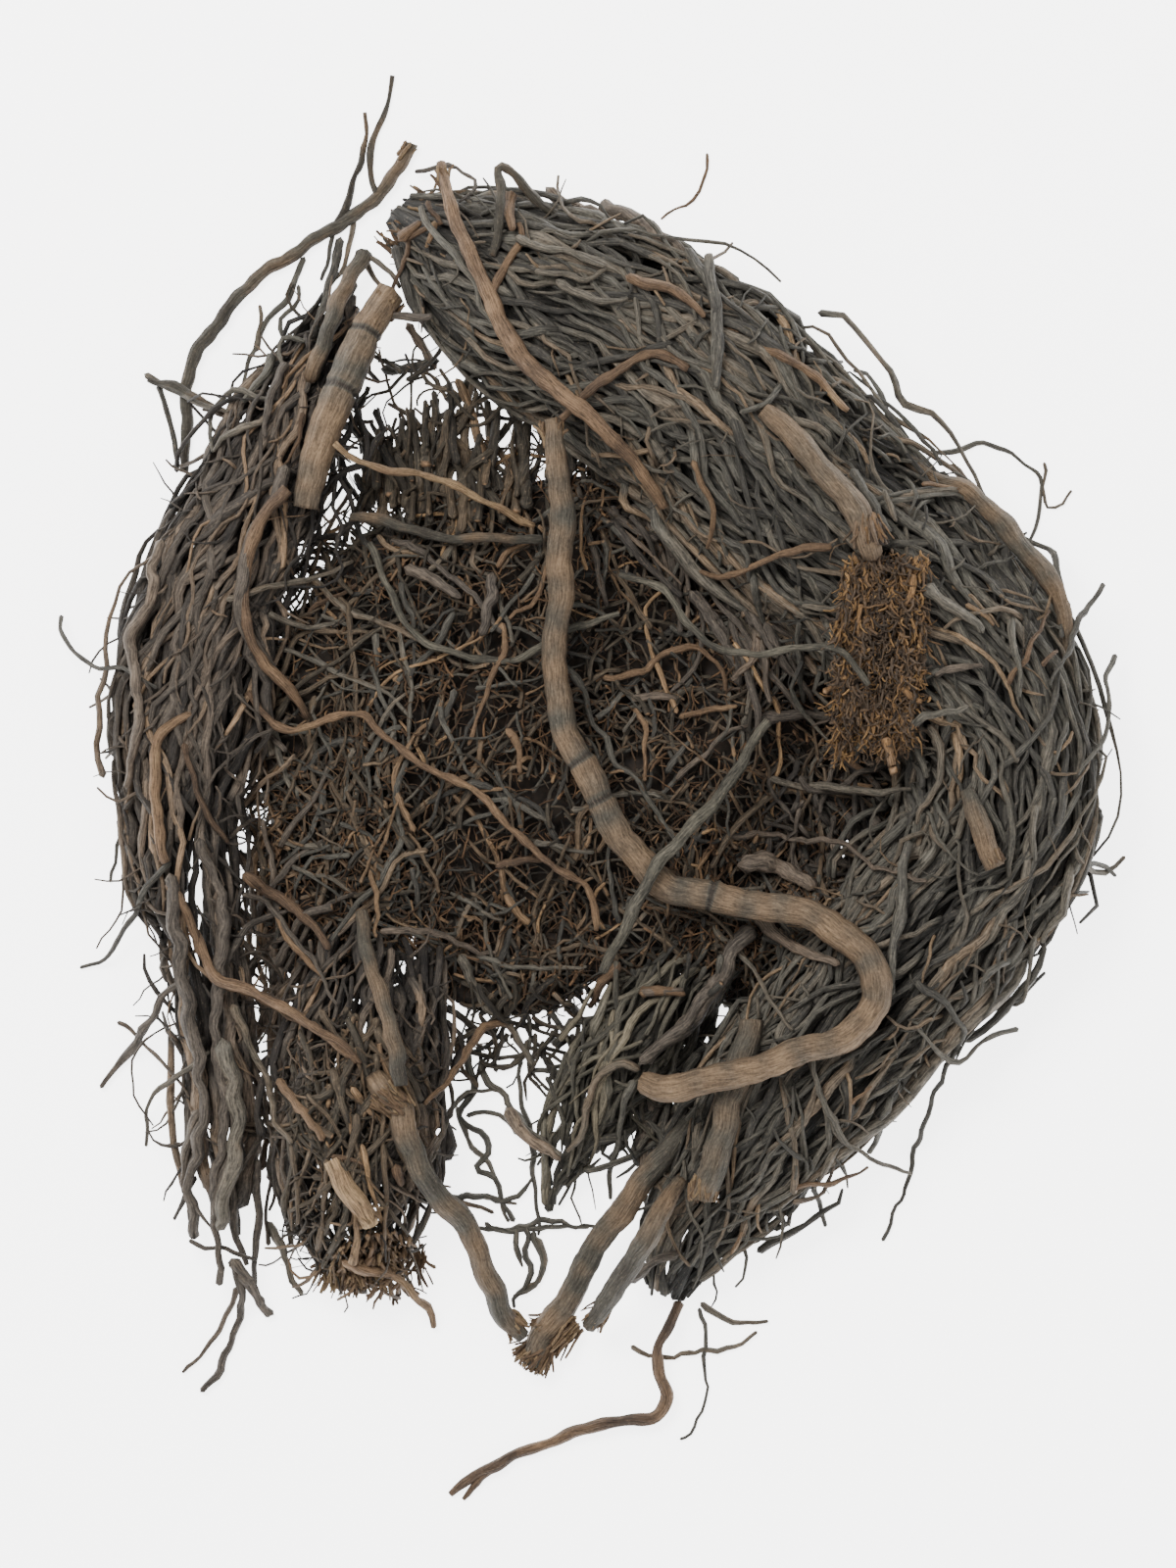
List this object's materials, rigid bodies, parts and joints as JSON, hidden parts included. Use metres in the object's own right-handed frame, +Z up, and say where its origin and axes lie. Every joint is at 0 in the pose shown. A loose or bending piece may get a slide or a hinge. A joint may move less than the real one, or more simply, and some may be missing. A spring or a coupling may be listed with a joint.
{
  "type": "banyan root",
  "caption": "Loose heap of dried banyan aerial roots: hanks of thin roots bent round a mat of rootlets, with stouter roots lying on top.",
  "frame": {"origin": "under the middle of the heap's box, on the surface that it lies on", "axes": "+Z up, +Y along the heap's longest side, from the open end of the big hank to its bend at the top, +X to the right as seen from above"},
  "size_m": [0.2182, 0.2932, 0.0402],
  "materials": {
    "grey_roots": "matt, finely wrinkled dry bark",
    "brown_roots": "matt, finely wrinkled dry bark",
    "green_grey_roots": "matt, finely wrinkled dry bark",
    "rootlets": "matt, fibrous",
    "rust_fibre": "matt, torn inner bark",
    "stout_bark": "matt bark with fine ridges along it",
    "tan_bark": "matt bark with fine ridges along it",
    "dark_bark": "matt bark with fine ridges along it"
  },
  "bodies": {
    "root": {"main_hank": "grey_roots", "side_hank": "brown_roots", "lower_hank": "brown_roots", "tassel": "green_grey_roots", "curved_grey_root": "green_grey_roots", "grey_arc_root": "green_grey_roots", "over_root": "green_grey_roots", "rootlet_mat": "rootlets", "fibre_tuft": "rust_fibre", "stump_root": "stout_bark", "twin_root_inner": "stout_bark", "twin_root_outer": "stout_bark", "ankle_root": "stout_bark", "arc_root": "stout_bark", "side_stick": "stout_bark", "short_root": "stout_bark", "stout_root": "stout_bark", "centre_root": "stout_bark", "red_root": "stout_bark", "edge_root": "stout_bark", "right_stout_root": "stout_bark", "hook_root": "stout_bark", "cut_stub": "stout_bark", "bent_root": "stout_bark", "tail_root": "tan_bark", "side_tan_root": "tan_bark", "knee_root": "tan_bark", "slant_root": "tan_bark", "lower_stub": "tan_bark", "tan_root": "tan_bark", "long_tan_root": "tan_bark", "pale_streak_root": "tan_bark", "curl_root": "tan_bark", "forked_root": "tan_bark", "upright_root": "dark_bark"}
  },
  "joints": []
}
